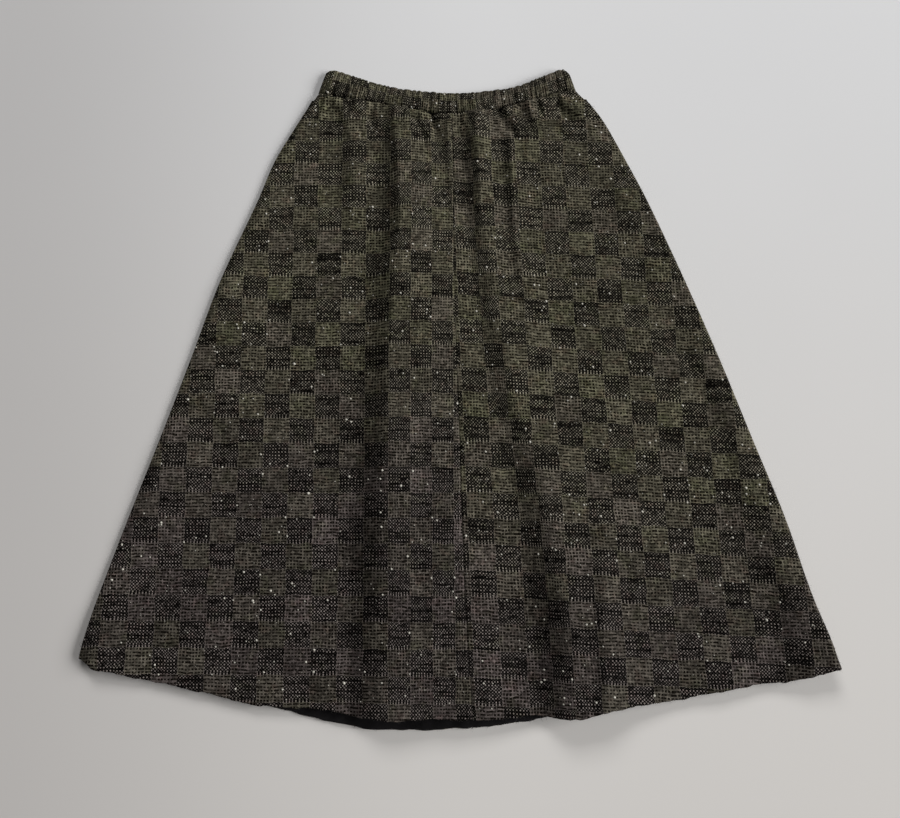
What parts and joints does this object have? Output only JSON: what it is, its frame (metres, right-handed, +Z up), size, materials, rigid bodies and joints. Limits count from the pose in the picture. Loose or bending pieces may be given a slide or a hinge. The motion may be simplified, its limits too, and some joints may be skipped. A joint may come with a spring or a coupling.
{
  "type": "midi skirt",
  "caption": "Flared midi skirt in checked tweed with a gathered elasticated waist, lying flat.",
  "frame": {"origin": "under the middle of the skirt's bounding box, on the surface that it lies on", "axes": "+X across the skirt to its right as seen from above, +Y from the hem towards the waist, +Z up from the surface"},
  "size_m": [0.8652, 0.8132, 0.0259],
  "materials": {
    "tweed": "matt checked tweed with pale nubs",
    "hem_facing": "smooth black facing with a low sheen"
  },
  "bodies": {
    "root": {"front_panel_left": "tweed", "front_panel_right": "tweed", "back_panel": "tweed", "waistband_front": "tweed", "waistband_back": "tweed", "back_hem_facing": "hem_facing"}
  },
  "joints": []
}
